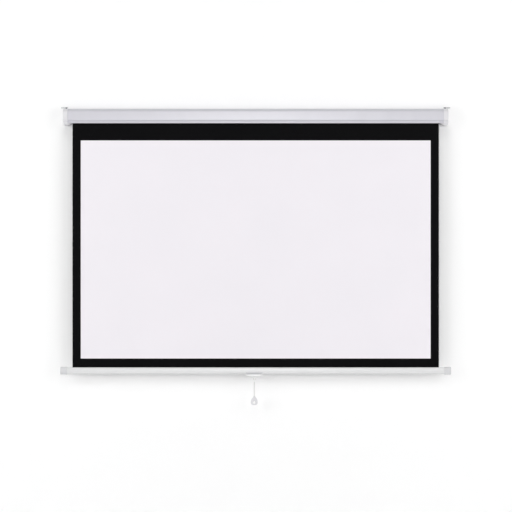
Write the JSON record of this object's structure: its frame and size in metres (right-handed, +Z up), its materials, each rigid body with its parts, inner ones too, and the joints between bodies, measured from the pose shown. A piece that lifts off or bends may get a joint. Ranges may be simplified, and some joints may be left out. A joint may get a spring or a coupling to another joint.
{
  "type": "retractable projection screen",
  "caption": "Wall-hung pull-down projection screen: a white casing with a locking spring roller, a white 16:10 picture area with black borders, a weighted bottom bar and a cord pull.",
  "frame": {"origin": "middle of the casing's flat back face, which lies against the wall", "axes": "+X to the right along the casing for someone who faces the screen, +Y back into the wall, +Z up"},
  "size_m": [1.921, 0.076, 1.467],
  "materials": {
    "white_paint": "white powder coat on aluminium, satin",
    "white_plastic": "moulded white ABS, fine matt texture",
    "black_fabric": "black coated screen cloth, matt",
    "screen_fabric": "matt white coated screen cloth with printed black borders and a black back",
    "zinc_steel": "bright zinc-plated steel",
    "spring_steel": "oiled spring steel",
    "aluminium": "mill-finish extruded aluminium",
    "nylon": "natural moulded nylon",
    "cord": "braided white polyester cord"
  },
  "bodies": {
    "root": {"casing_shell": "white_paint", "end_cap_left": "white_plastic", "end_cap_right": "white_plastic", "cap_screw_left_upper_back": "zinc_steel", "cap_screw_left_lower_back": "zinc_steel", "cap_screw_left_front": "zinc_steel", "cap_screw_right_upper_back": "zinc_steel", "cap_screw_right_lower_back": "zinc_steel", "cap_screw_right_front": "zinc_steel", "bearing_plate_left": "zinc_steel", "bearing_plate_right": "zinc_steel", "plate_screw_left_upper": "zinc_steel", "plate_screw_left_lower": "zinc_steel", "plate_screw_right_upper": "zinc_steel", "plate_screw_right_lower": "zinc_steel", "ring_staple_left": "zinc_steel", "ring_staple_right": "zinc_steel", "spring_spindle": "zinc_steel", "ratchet_wheel": "zinc_steel", "ratchet_clip": "spring_steel", "spring_anchor": "nylon", "torsion_spring": "spring_steel", "idle_bush": "nylon", "screen_fabric": "screen_fabric"},
    "roller": {"roller_tube": "aluminium", "spring_end_plug": "nylon", "idle_end_plug": "nylon", "idle_pin": "zinc_steel", "roller_spline": "nylon", "fabric_roll": "black_fabric", "pawl_pin_upper": "zinc_steel", "pawl_pin_lower": "zinc_steel"},
    "upper_pawl": {"pawl_upper": "spring_steel"},
    "lower_pawl": {"pawl_lower": "spring_steel"},
    "bar": {"bottom_bar": "white_paint", "bar_spline": "nylon", "bar_weight_rod": "zinc_steel", "bar_end_cap_left": "white_plastic", "bar_end_cap_right": "white_plastic", "handle_clip": "white_plastic", "handle_screw_left": "zinc_steel", "handle_screw_right": "zinc_steel"},
    "swing_ring": {"cord_ring": "zinc_steel"},
    "pull": {"cord_ferrule": "white_plastic", "pull_cord": "cord", "pull_drop": "white_plastic"},
    "left_ring": {"hanging_ring_left": "zinc_steel"},
    "right_ring": {"hanging_ring_right": "zinc_steel"}
  },
  "joints": [
    {"name": "screen_travel", "type": "slide", "parent": "root", "child": "bar", "axis": [0, 0, 1], "range_m": [0, 1.1855], "deforming": ["screen_fabric"]},
    {"name": "roller_spin", "type": "hinge", "parent": "root", "child": "roller", "pos_m": [0, -0.04, 0], "axis": [1, 0, 0], "range_deg": [-2701, 0]},
    {"name": "upper_pawl_swing", "type": "hinge", "parent": "roller", "child": "upper_pawl", "pos_m": [0.9138, -0.029, 0.0126], "axis": [1, 0, 0], "range_deg": [0, 14]},
    {"name": "lower_pawl_swing", "type": "hinge", "parent": "roller", "child": "lower_pawl", "pos_m": [0.9138, -0.051, -0.0126], "axis": [1, 0, 0], "range_deg": [0, 14]},
    {"name": "left_ring_swing", "type": "hinge", "parent": "root", "child": "left_ring", "pos_m": [-0.943, -0.038, 0.0425], "axis": [1, 0, 0], "range_deg": [0, 172]},
    {"name": "right_ring_swing", "type": "hinge", "parent": "root", "child": "right_ring", "pos_m": [0.943, -0.038, 0.0425], "axis": [1, 0, 0], "range_deg": [0, 172]},
    {"name": "swing_ring_swing", "type": "hinge", "parent": "bar", "child": "swing_ring", "pos_m": [-0.007, -0.06365, -1.2864], "axis": [1, 0, 0], "range_deg": [-60, 25]},
    {"name": "pull_swing", "type": "hinge", "parent": "swing_ring", "child": "pull", "pos_m": [-0.007, -0.06365, -1.2914], "axis": [0, 1, 0], "range_deg": [-40, 40]}
  ],
  "couplings": [
    {"joint": "roller_spin", "follows": "screen_travel", "rad_per_m": -39.75}
  ]
}
